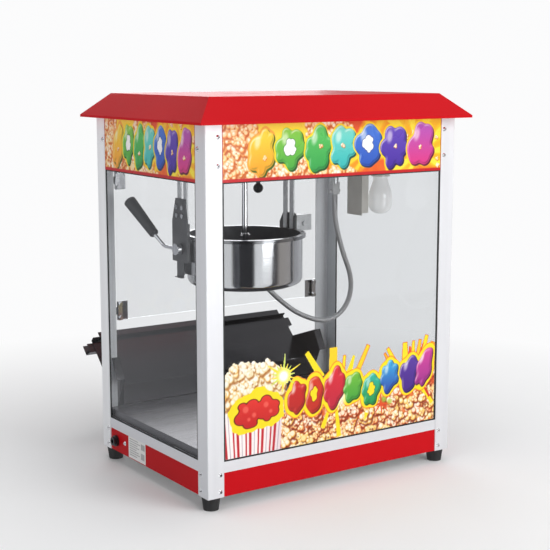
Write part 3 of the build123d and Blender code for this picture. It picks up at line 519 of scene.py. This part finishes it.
def coloured_puff(P, s, z, w, h, tilt, seed, top, low, halo, halo_w, drop, glow=0.0, core=None):
    sd = P.puff(s, z, w, h, tilt, seed)
    if halo is not None:
        P.lay(sd - halo_w, halo)
    sh = P.puff(s + drop[0], z + drop[1], w, h, tilt, seed)
    P.lay(sh - 0.5, drop[2], strength=0.95)
    t = np.clip((P.Z - (z - h / 2)) / h, 0, 1)
    P.lay(sd, toned(low, top, t))
    # bevel: a lit upper-left lip, a shaded lower-right lip and a soft shine
    gz, gs = np.gradient(sd, P.p)
    lit = np.clip(-gs * 0.6 + gz * 0.8, -1, 1)
    rim = np.clip(1 - np.abs(sd + 2.0) / 2.0, 0, 1) * np.clip(-sd / 0.6, 0, 1)
    m = rim * np.clip(lit, 0, 1) * 0.75
    P.rgb[:] = P.rgb * (1 - m[..., None]) + m[..., None] * np.array([1, 1, 0.94])
    m = rim * np.clip(-lit, 0, 1) * 0.55
    P.rgb[:] = P.rgb * (1 - m[..., None]) + m[..., None] * np.asarray(drop[2])
    c, n = math.cos(tilt), math.sin(tilt)
    dx, dz = P.S - (s - 0.16 * w), P.Z - (z + 0.22 * h)
    u, v = dx * c + dz * n, -dx * n + dz * c
    P.lay((np.hypot(u / (0.10 * w), v / (0.13 * h)) - 1) * 3, (1, 1, 0.96), strength=0.55, soft=2.4, cover=False)
    if core is not None:
        P.lay(P.puff(s, z + 0.02 * h, w * 0.42, h * 0.42, tilt, seed + 5, 1.0) - 0.8, drop[2], strength=0.8)
        P.lay(P.puff(s, z + 0.02 * h, w * 0.42, h * 0.42, tilt, seed + 5, 1.0), core)


def header_print(width, seed):
    """The header's art, squeezed to a panel's width: popped corn at the left, rays at the right, seven coloured puffs."""
    P = Print(-width / 2, width / 2, 521.3, 610.2, 0.8, seed)
    q = width / 439.4
    Sn, Z = P.S / q, P.Z
    # golden ground, warmer to the left
    t = np.clip((Sn + 40) / 220, 0, 1)
    P.rgb[:] = toned(hexa("F59A22"), hexa("FBC81C"), t)
    P.on[:] = 1
    # rays behind the puffs
    for cx, cz, n, ph, a, b, reach in ((62, 560, 26, 0.1, "FFE23A", "F08A1C", 150), (170, 552, 22, 0.4, "FFE640", "F7A01E", 110)):
        ang = np.arctan2(Z - cz, Sn - cx)
        wav = np.sin(ang * n / 2 + ph + 0.7 * np.sin(ang * 3.1))
        fall = np.clip(1 - np.hypot(Sn - cx, (Z - cz) * 1.3) / reach, 0, 1)
        P.lay(-(wav - 0.15) * 6, hexa(a), strength=0.9, soft=2.0, cover=False) if n == 22 else None
        m = np.clip(wav * 2, 0, 1) * fall
        P.rgb[:] = P.rgb * (1 - m[..., None]) + hexa(a) * m[..., None]
        m = np.clip(-wav * 2 - 0.6, 0, 1) * fall * 0.8
        P.rgb[:] = P.rgb * (1 - m[..., None]) + hexa(b) * m[..., None]
    # red-orange wedges
    for pts, col in (([(-25, 612), (52, 612), (40, 590), (8, 586)], "E2401C"), ([(40, 520), (100, 520), (96, 546), (60, 540)], "E8561C"),
                     ([(150, 520), (222, 520), (222, 526), (170, 533)], "EE7A1C"), ([(-10, 585), (8, 560), (36, 580)], "F08020")):
        P.lay(P.poly([(x * q, z) for x, z in pts]), hexa(col), soft=5.0, strength=0.85)
    # popped corn: dense at the left, a band along the bottom and some behind the puffs
    rng = P.rng

    def dense(s, z):
        s = s / q
        return s < -158 + 8 * math.sin(z / 9) or (s < -60 and z < 548 + 6 * math.sin(s / 7)) or (
            s < 45 and z < 540 - (s + 60) * 0.12) or (-60 < s < 22 and z > 575 + 8 * math.sin(s / 11))

    ground = np.minimum(Sn + 158, np.maximum(Sn + 60, Z - 546))
    ground = np.minimum(ground, np.maximum(Sn - 42, Z - 538 + (Sn + 60) * 0.12))
    P.lay(ground, hexa("D2601E"), soft=9.0, cover=False)
    P.lay(Sn + 206, hexa("F08A28"), soft=16, strength=0.8, cover=False)
    P.pile(lambda s, z: dense(s, z), 8.2, 10.5, WARM)
    P.pile(lambda s, z: dense(s, z) and P.rng.random() < 0.75, 10.5, 12.0, WARM)
    for _ in range(16):
        P.popped(rng.uniform(60, 215) * q, rng.uniform(530, 606), rng.uniform(4.0, 7.0), WARM)
    # the puffs
    shapes = [(-147, 562, 44, 66, -0.22, "FBE03A", "F79A1E", "3B5A12", None),
              (-94, 570.5, 50, 60, -0.12, "8FD14A", "45A83A", "144A1E", "FFFFFF"),
              (-38, 567, 46, 66, -0.20, "62CC62", "2E9E48", "0F4A22", None),
              (10, 570, 47, 62, -0.16, "7FE0D0", "33B6B4", "0E4E50", None),
              (61.5, 571, 50, 60, -0.10, "4C7FE0", "2A55B8", "12245E", "FFFFFF"),
              (116, 564, 50, 66, -0.14, "6A4FC0", "45289A", "1E1050", None),
              (175, 566, 52, 68, -0.24, "B05AC0", "E0327E", "5A1034", None)]
    for i, (s, z, w, h, tilt, top, low, dark, core) in enumerate(shapes):
        z = 526 + 0.5 * 83 + (z - 567) * 0.6
        coloured_puff(P, s * q, z, 1.16 * w * q, 1.16 * h, tilt, 11 + i, hexa(top), hexa(low),
                      hexa("FFDE1E") if i != 0 else hexa("F8A83A"), 2.6, (2.2, -2.4, hexa(dark)),
                      core=None if core is None else hexa(core))
        if core is None:
            P.popped((s + rng.uniform(-5, 5)) * q, z + rng.uniform(-12, 6), 5.0, WARM, shade=0.4)
    # red edge trim
    P.lay(P.Z - 526.1, hexa("C4161D"))
    P.lay(609.6 - P.Z, hexa("B4141A"))
    P.lay((width / 2 - np.abs(P.S)) - 1.2, hexa("B4141A"))
    return P


def grid_mesh(name, P, place, cut=False, flip=False):
    """The print's grid as a mesh. place(s, z) gives a point in mm; its colour goes into a colour attribute."""
    nz, ns = P.S.shape
    pts = place(P.S.ravel(), P.Z.ravel()) / 1000.0
    idx = np.arange(nz * ns).reshape(nz, ns)
    quads = np.stack([idx[:-1, :-1], idx[:-1, 1:], idx[1:, 1:], idx[1:, :-1]], -1).reshape(-1, 4)
    if flip:
        quads = quads[:, ::-1]
    if cut:
        on = P.on.ravel()
        quads = quads[(on[quads] > 0.3).all(1)]
    used, inv = np.unique(quads, return_inverse=True)
    me = bpy.data.meshes.new(name)
    me.vertices.add(len(used))
    me.vertices.foreach_set("co", pts[used].astype(np.float32).ravel())
    me.loops.add(quads.size)
    me.loops.foreach_set("vertex_index", inv.reshape(-1).astype(np.int32))
    me.polygons.add(len(quads))
    me.polygons.foreach_set("loop_start", np.arange(0, quads.size, 4, dtype=np.int32))
    me.polygons.foreach_set("loop_total", np.full(len(quads), 4, np.int32))
    me.update(calc_edges=True)
    rgba = np.ones((len(used), 4), np.float32)
    rgba[:, :3] = lin(np.clip(P.rgb.reshape(-1, 3)[used], 0, 1))
    attr = me.color_attributes.new(name="print", type="FLOAT_COLOR", domain="POINT")
    attr.data.foreach_set("color", rgba.ravel())
    me.validate()
    return me


def print_material(name, gloss):
    m = Mat(name)
    vc = m.nt.nodes.new("ShaderNodeVertexColor")
    vc.layer_name = "print"
    mix = m.nt.nodes.new("ShaderNodeMix")
    mix.data_type, mix.blend_type = "RGBA", "MULTIPLY"
    mix.inputs["Factor"].default_value = 1.0
    m.link(vc.outputs["Color"], mix.inputs["A"])
    m.link(m.colours(m.noise((700, 700, 700), 2), (0.94, 0.94, 0.94), (1, 1, 1)), mix.inputs["B"])
    m.link(mix.outputs["Result"], m.b.inputs["Base Color"])
    m.link(m.ramp(m.noise((12, 12, 12), 3), gloss - 0.04, gloss + 0.06), m.b.inputs["Roughness"])
    m.bump(m.noise((500, 500, 500), 2), 0.04, 0.00005)
    return m.m


FILM = print_material("printed_film", 0.26)
DECAL = print_material("printed_decal", 0.32)

art = header_print(439.4, 4)
me = grid_mesh("header_print_front", art, lambda s, z: np.stack([s, np.full_like(s, -233.25), z], 1))
me.materials.append(FILM)
new_object("header_print_front", me, "cabinet")
side_art = header_print(305.0, 9)
me = grid_mesh("header_print_left", side_art, lambda s, z: np.stack([np.full_like(s, -249.85), -50.4 - s, z], 1))
me.materials.append(FILM)
new_object("header_print_left", me, "cabinet")
me = grid_mesh("header_print_right", side_art, lambda s, z: np.stack([np.full_like(s, 249.85), -50.4 + s, z], 1))
me.materials.append(FILM)
new_object("header_print_right", me, "cabinet")


def glass_print():
    """The cut-out print along the bottom of the front pane."""
    P = Print(-216.6, 216.6, 82.0, 242.0, 0.8, 21)
    rng = P.rng
    S, Z = P.S, P.Z
    YEL, ORA, REDC = hexa("FFE214"), hexa("F7A81A"), hexa("D2301E")

    def spike(x0, z0, x1, z1, w0, w1, col, edge=None):
        dx, dz = x1 - x0, z1 - z0
        ln = math.hypot(dx, dz)
        nx, nz = -dz / ln, dx / ln
        pts = [(x0 + nx * w0, z0 + nz * w0), (x1 + nx * w1, z1 + nz * w1), (x1 - nx * w1, z1 - nz * w1), (x0 - nx * w0, z0 - nz * w0)]
        sd = P.poly(pts)
        if edge is not None:
            P.lay(sd - 1.3, edge)
        P.lay(sd, col)

    # rays that stand up behind the row
    for x0, z0, x1, z1, w0, w1, col, edge in (
            (-28, 190, -59.5, 236.5, 7, 4.6, YEL, None), (-5, 195, -4.8, 238.4, 9, 8.2, hexa("FFD21A"), None),
            (14, 185, 18.6, 221.6, 4, 2.2, YEL, REDC), (26, 185, 38.5, 219.6, 7, 2.6, YEL, None),
            (40, 180, 68.6, 233.0, 5, 3.4, hexa("FFD21A"), REDC), (130, 190, 110.6, 222.0, 5, 2.8, YEL, REDC),
            (122, 186, 104, 214, 4, 1.6, hexa("FFB41A"), REDC), (150, 190, 148.6, 227.4, 7, 4.6, YEL, REDC),
            (160, 190, 159.5, 220, 4, 2.4, hexa("E8501C"), None), (166, 190, 167.8, 228.4, 5, 2.2, YEL, REDC),
            (176, 190, 182.6, 228.8, 5, 2.6, hexa("FFC81A"), REDC), (184, 190, 197.8, 234.8, 6, 3.4, YEL, REDC),
            (172, 180, 190, 222, 3, 1.2, hexa("E8501C"), None), (196, 180, 212, 221, 6, 4.5, YEL, REDC)):
        spike(x0, z0, x1, z1, w0, w1, col, edge)
    # right edge: a dark red fan
    for i, (x1, z1) in enumerate(((217, 205), (217, 192), (217, 182), (217, 171), (217, 160))):
        spike(192, 182, x1, z1, 2.4, 3.6, (REDC, YEL, hexa("E8501C"), YEL, REDC)[i])

    # popped corn along the bottom; it climbs at the right
    top_x = [-112, -95, -76, -50, -27, 0, 20, 45, 61, 85, 107, 125, 140, 160, 181, 200, 220]
    top_z = [140, 142, 144, 140, 140, 142, 146, 148, 142, 146, 150, 150, 152, 152, 150, 160, 176]

    def crest(s):
        return float(np.interp(s, top_x, top_z)) + 1.6 * math.sin(s / 3.1) + 1.2 * math.sin(s / 1.7)

    band = Z - (np.interp(S, top_x, top_z) - 5)
    P.lay(np.maximum(band, -107.5 - S), hexa("B4481A"), soft=1.6)
    P.pile(lambda s, z: s > -107 and z < crest(s) - 3, 8.0, 10.5, RICH)
    for _ in range(26):
        s = rng.uniform(-100, 215)
        z = rng.uniform(88, crest(s) - 6)
        P.disc(s, z, rng.uniform(5, 10), hexa(rng.choice(("D8481A", "E8641C", "C23414", "F08A24"))), 0.8, 6.0)
    P.pile(lambda s, z: s > -106 and z < crest(s) - 4 and P.rng.random() < 0.7, 10.5, 11.5, RICH)
    # yellow beams over the corn
    for x0, z0, x1, z1, w0, w1 in ((-14, 132, -26, 104, 3, 4.5), (2, 132, 8, 84, 3, 4.6), (66, 116, 62, 104, 4, 1.5),
                                   (176, 150, 206, 122, 3, 2.0), (186, 150, 212, 112, 2.4, 4.0)):
        spike(x0, z0, x1, z1, w0, w1, YEL)
    spike(184, 158, 206, 124, 2.0, 2.2, REDC)
    for x1, z1 in ((96, 146), (116, 140), (84, 112), (112, 112), (100, 106), (124, 122), (78, 124)):
        spike(97, 128, x1, z1, 2.2, 0.7, hexa("E2501C"))
    P.disc(104, 134, 5.5, hexa("9AC83C"), 0.8, 4.0)
    P.disc(116, 128, 5.0, hexa("B4D24A"), 0.8, 4.0)

    # bucket: stripes that spread towards the rim, and the heap
    edge = P.poly([(-216.6, 82), (-110.6, 82), (-107.6, 160), (-112, 164), (-216.6, 176)])
    P.lay(edge, hexa("FFF6F2"))
    fan = (S + 172) / (1 + (Z - 82) * 0.0019)
    for k in range(-8, 13):
        c, w = k * 7.4, (3.6 if k % 3 == 0 else (1.0 if k % 3 == 1 else 2.2))
        col = hexa("C81E2C") if k % 3 != 1 else hexa("B9A6B4")
        sd = np.maximum(np.abs(fan - c - 8 * 0.3) - w * 0.62, edge)
        P.lay(sd, col)
    shade = np.clip((S + 150) / 44, 0, 1) * np.clip(-edge, 0, 1)
    P.rgb[:] = P.rgb * (1 - 0.18 * shade[..., None]) + hexa("8A4A6A") * 0.18 * shade[..., None]
    heap_x = [-220, -210, -195, -186, -177, -166, -151, -140, -127, -116, -108]
    heap_z = [214, 224, 233, 238, 235, 230, 231, 233, 226, 214, 198]

    def heap(s, z):
        return s < -106 and (170 if s < -130 else 166) < z < float(np.interp(s, heap_x, heap_z)) - 2.5

    P.lay(np.maximum(np.maximum(Z - (np.interp(S, heap_x, heap_z) - 7), 168 - Z), S + 110), hexa("D69A4A"), soft=1.6)
    P.pile(heap, 8.6, 11.5, PALE)
    P.pile(lambda s, z: heap(s, z) and P.rng.random() < 0.8, 11.0, 13.0, PALE)

    # yellow cloud behind the row of puffs
    row = [(-79, 165, 33, 54, -0.24, "D2261E", "B8201C", hexa("6A1010")), (-44, 163.5, 34, 56, -0.10, "DC3A20", "C02A1C", hexa("6A1010")),
           (-3, 170, 40, 68, -0.16, "E02A36", "C01E3A", hexa("5A0A18")), (35.5, 165, 36, 50, -0.22, "7AC23C", "3E9E3A", hexa("14501E")),
           (75.5, 155, 38, 52, -0.20, "30B8A8", "1C9442", hexa("0E4A2A")), (115, 172, 38, 54, -0.14, "3CB4E6", "2A46A6", hexa("10245E")),
           (158, 172, 40, 60, -0.24, "5A3AA0", "472486", hexa("1E1050")), (193, 178, 34, 66, -0.42, "D8429A", "9A2C8A", hexa("4A1040"))]
    cloud = None
    for i, (s, z, w, h, tilt, *_r) in enumerate(row):
        sd = P.puff(s, z, w * 1.04, h * 1.02, tilt, 40 + i) - 6.0
        cloud = sd if cloud is None else np.minimum(cloud, sd)
    P.lay(cloud - 1.0, hexa("F0701C"))
    P.lay(cloud, YEL)
    # pale glow behind the middle puff
    P.disc(6, 152, 16, hexa("FFFDF0"), 0.9, 14)
    for i, (s, z, w, h, tilt, top, low, dark) in enumerate(row):
        coloured_puff(P, s, z, 1.06 * w, 1.10 * h, tilt, 40 + i, hexa(top), hexa(low), None, 0, (1.6, -1.6, dark),
                      core=YEL if i in (1, 4) else None)

    # badge on the bucket: a yellow cloud with one red popped shape
    badge = P.poly([(-210, 158), (-198, 172), (-183, 180), (-166, 183), (-158, 191), (-143, 191), (-133, 182), (-116, 176),
                    (-106, 163), (-105, 137), (-116, 130), (-128, 125), (-150, 124), (-172, 120), (-192, 119), (-203, 128), (-208, 145)], 1.0)
    badge = badge + 1.3 * np.sin(S / 3.0) * np.sin(Z / 3.4)
    P.lay(badge, YEL)
    sd = np.minimum(P.puff(-171, 150, 58, 46, 0.1, 71, 2.0), P.puff(-136, 155, 46, 42, 0.0, 73, 2.0))
    P.lay(sd - 1.4, hexa("5A1208"))
    P.lay(sd, toned(hexa("C81E1E"), hexa("E8342A"), np.clip((Z - 130) / 45, 0, 1)))
    for s, z, r in ((-178, 158, 5.5), (-162, 147, 4.0), (-139, 161, 4.6), (-130, 149, 3.2), (-172, 141, 3.0)):
        P.disc(s, z, r, hexa("F2685A"), 0.8, 3.0, False)
    # starburst
    for k in range(18):
        a = 2 * math.pi * k / 18 + 0.1
        ln = (37 if k % 3 == 1 else 22) * (1.0 if math.sin(a) > -0.3 else 0.7)
        spike(-105, 203, -105 + ln * math.cos(a), 203 + ln * math.sin(a), 3.2, 0.7,
              hexa("FFE836") if k % 2 else hexa("D8E85A"))
    P.disc(-105, 203, 13, hexa("FFF27A"), 1.0, 7)
    P.disc(-105, 203, 8.5, (1, 1, 1), 1.0, 5)
    # sheet edges
    P.on[:, 0] = np.minimum(P.on[:, 0], 1)
    return P


gp = glass_print()
me = grid_mesh("glass_print", gp, lambda s, z: np.stack([s, np.full_like(s, -231.65), z], 1), cut=True)
me.materials.append(DECAL)
new_object("glass_print", me, "cabinet")
# the decal's white back, seen from inside the cabinet
back = Print(-216.6, 216.6, 82.0, 242.0, 2.4, 1)
ii = np.clip(np.searchsorted(gp.z, back.z), 0, len(gp.z) - 1)
jj = np.clip(np.searchsorted(gp.s, back.s), 0, len(gp.s) - 1)
back.on = gp.on[np.ix_(ii, jj)]
back.rgb[:] = 0.5 * gp.rgb[np.ix_(ii, jj)] + 0.5 * np.array([0.93, 0.93, 0.92])
me = grid_mesh("glass_print_back", back, lambda s, z: np.stack([s, np.full_like(s, -231.52), z], 1), cut=True, flip=True)
me.materials.append(DECAL)
new_object("glass_print_back", me, "cabinet")


# ---------------------------------------------------------------- rating label, blank
def label():
    P = Print(-31, 31, 23.5, 62.0, 0.6, 3)
    P.rgb[:] = hexa("F2F2F0")
    sd = np.maximum(np.abs(P.S) - 29.5, np.abs(P.Z - 42.75) - 17.8)
    P.on = np.clip(0.5 - (np.maximum(np.abs(P.S) - 31, 0)), 0, 1) * 0 + 1
    for z, a, b in ((57.5, -27, 4), (53.5, -27, 12), (49.5, -27, 2), (45.5, -27, 8), (41.5, -27, -2), (37.5, -27, 6), (33.5, -27, 10), (29.5, -27, 0)):
        P.lay(np.maximum(np.abs(P.Z - z) - 0.7, np.maximum(a - P.S, P.S - b)), hexa("8C8C8E"), strength=0.75)
    for k in range(9):
        P.lay(np.maximum(np.abs(P.S - 15 - k * 1.5) - (0.25 + 0.2 * (k % 3)), np.abs(P.Z - 52) - 5), hexa("5A5A5C"), strength=0.8)
    P.lay(np.maximum(np.abs(P.S - 20.5) - 6.5, np.abs(P.Z - 35) - 5.5), hexa("B8B8BA"))
    P.lay(-sd - 0.3, hexa("D8D8D6"), strength=0.7) if False else None
    return P


me = grid_mesh("side_label", label(), lambda s, z: np.stack([np.full_like(s, -248.3), 6.6 - s, z], 1))
me.materials.append(DECAL)
new_object("side_label", me, "cabinet")


# ---------------------------------------------------------------- floor, light
def quad_object(name, pts, mat):
    me = bpy.data.meshes.new(name)
    me.from_pydata(pts, [], [(0, 1, 2, 3)])
    me.materials.append(mat)
    ob = bpy.data.objects.new(name, me)
    scene.collection.objects.link(ob)
    return ob


fl = Mat("studio_floor")
fl.link(fl.colours(fl.noise((2, 2, 2), 2), (0.90, 0.90, 0.90), (0.93, 0.93, 0.93)), fl.b.inputs["Base Color"])
fl.b.inputs["Roughness"].default_value = 0.85
fl.b.inputs["Specular IOR Level"].default_value = 0.1
away = fl.nt.nodes.new("ShaderNodeVectorMath")
away.operation = "LENGTH"
fl.link(fl.tc.outputs["Object"], away.inputs[0])
paper = fl.nt.nodes.new("ShaderNodeEmission")
paper.inputs["Color"].default_value = (0.97, 0.97, 0.975, 1)
paper.inputs["Strength"].default_value = 1.0
fade = fl.nt.nodes.new("ShaderNodeMixShader")
fl.link(fl.ramp(away.outputs["Value"], 0.0, 1.0, 0.34, 1.15), fade.inputs["Fac"])
fl.link(fl.b.outputs[0], fade.inputs[1])
fl.link(paper.outputs[0], fade.inputs[2])
fl.link(fade.outputs[0], next(n for n in fl.nt.nodes if n.type == "OUTPUT_MATERIAL").inputs["Surface"])
floor = quad_object("floor", [(-9, -9, 0), (9, -9, 0), (9, 9, 0), (-9, 9, 0)], fl.m)
floor.visible_glossy = False

world = bpy.data.worlds.new("studio")
scene.world = world
world.use_nodes = True
wn = world.node_tree
bg = wn.nodes["Background"]
bg.inputs["Color"].default_value = (0.95, 0.96, 0.98, 1)
bg.inputs["Strength"].default_value = 0.40
seen = wn.nodes.new("ShaderNodeBackground")
seen.inputs["Color"].default_value = (0.97, 0.97, 0.975, 1)
seen.inputs["Strength"].default_value = 1.0
# what polished metal mirrors: soft boxes and the dark gaps between them, round the studio
wtc = wn.nodes.new("ShaderNodeTexCoord")
turn = wn.nodes.new("ShaderNodeMapping")
turn.vector_type = "POINT"
turn.inputs["Rotation"].default_value = (0, 0, 0)
wn.links.new(wtc.outputs["Generated"], turn.inputs["Vector"])
radial = wn.nodes.new("ShaderNodeTexGradient")
radial.gradient_type = "RADIAL"
wn.links.new(turn.outputs[0], radial.inputs["Vector"])
bands = wn.nodes.new("ShaderNodeValToRGB")
wn.links.new(radial.outputs["Fac"], bands.inputs["Fac"])


def place_of(a):
    """Ramp position of the direction at azimuth a: 0 is the customer's side, 90 the right."""
    x, y = math.sin(math.radians(a)), -math.cos(math.radians(a))
    return (math.atan2(y, x) / (2 * math.pi) + 0.5) % 1.0


STOPS = [(-180, 0.50, 0.50, 0.51), (-150, 0.42, 0.42, 0.44), (-120, 0.36, 0.36, 0.38), (-95, 0.50, 0.50, 0.52),
         (-80, 1.15, 1.15, 1.15), (-60, 1.15, 1.15, 1.15), (-56, 0.30, 0.30, 0.31), (-42, 0.03, 0.03, 0.034),
         (-16, 0.012, 0.012, 0.015), (-12, 1.25, 1.25, 1.25), (20, 1.25, 1.25, 1.25), (24, 0.07, 0.07, 0.08),
         (33, 0.10, 0.09, 0.09), (40, 0.52, 0.48, 0.45), (78, 0.54, 0.50, 0.48), (84, 0.50, 0.50, 0.52),
         (120, 0.75, 0.75, 0.77), (150, 0.45, 0.45, 0.47)]
stops = sorted((place_of(a), c) for a, *c in STOPS)
ramp = bands.color_ramp
while len(ramp.elements) < len(stops):
    ramp.elements.new(0.5)
for e, (p, c) in zip(ramp.elements, stops):
    e.position = p
    e.color = (*c, 1)
mirror = wn.nodes.new("ShaderNodeBackground")
wn.links.new(bands.outputs[0], mirror.inputs["Color"])
mirror.inputs["Strength"].default_value = 1.0
# overhead it is one even soft box
split = wn.nodes.new("ShaderNodeSeparateXYZ")
wn.links.new(wtc.outputs["Generated"], split.inputs[0])
high = wn.nodes.new("ShaderNodeMapRange")
wn.links.new(split.outputs["Z"], high.inputs["Value"])
high.inputs["From Min"].default_value, high.inputs["From Max"].default_value = 0.25, 0.6
overhead = wn.nodes.new("ShaderNodeBackground")
overhead.inputs["Color"].default_value = (0.80, 0.81, 0.83, 1)
overhead.inputs["Strength"].default_value = 0.8
m1 = wn.nodes.new("ShaderNodeMixShader")
wn.links.new(high.outputs[0], m1.inputs["Fac"])
wn.links.new(mirror.outputs[0], m1.inputs[1])
wn.links.new(overhead.outputs[0], m1.inputs[2])
path = wn.nodes.new("ShaderNodeLightPath")
m2 = wn.nodes.new("ShaderNodeMixShader")
wn.links.new(path.outputs["Is Glossy Ray"], m2.inputs["Fac"])
wn.links.new(bg.outputs[0], m2.inputs[1])
wn.links.new(m1.outputs[0], m2.inputs[2])
m3 = wn.nodes.new("ShaderNodeMixShader")
wn.links.new(path.outputs["Is Camera Ray"], m3.inputs["Fac"])
wn.links.new(m2.outputs[0], m3.inputs[1])
wn.links.new(seen.outputs[0], m3.inputs[2])
wn.links.new(m3.outputs[0], wn.nodes["World Output"].inputs["Surface"])


def area(name, place, aim, size, power, colour=(1, 1, 1), size_y=None):
    ld = bpy.data.lights.new(name, "AREA")
    ld.shape = "RECTANGLE"
    ld.size, ld.size_y = size, size_y or size
    ld.energy, ld.color = power, colour
    ob = bpy.data.objects.new(name, ld)
    scene.collection.objects.link(ob)
    ob.location = place
    ob.rotation_euler = (Vector(aim) - Vector(place)).to_track_quat("-Z", "Y").to_euler()
    return ob


area("key", (1.1, -2.6, 1.9), (0, 0, 0.3), 1.5, 36)
area("front_low", (0.5, -2.5, 0.55), (0, 0.1, 0.42), 1.0, 15)
area("top", (-0.2, -0.3, 2.6), (0, 0, 0.4), 1.8, 15)
area("behind", (0.9, 2.2, 0.9), (0, 0, 0.35), 1.4, 16)
area("left_fill", (-2.6, -0.4, 1.0), (0, 0, 0.3), 1.4, 4)

scene.view_settings.view_transform = "Standard"
scene.view_settings.look = "None"
scene.view_settings.exposure = 0.0
scene.view_settings.gamma = 1.0
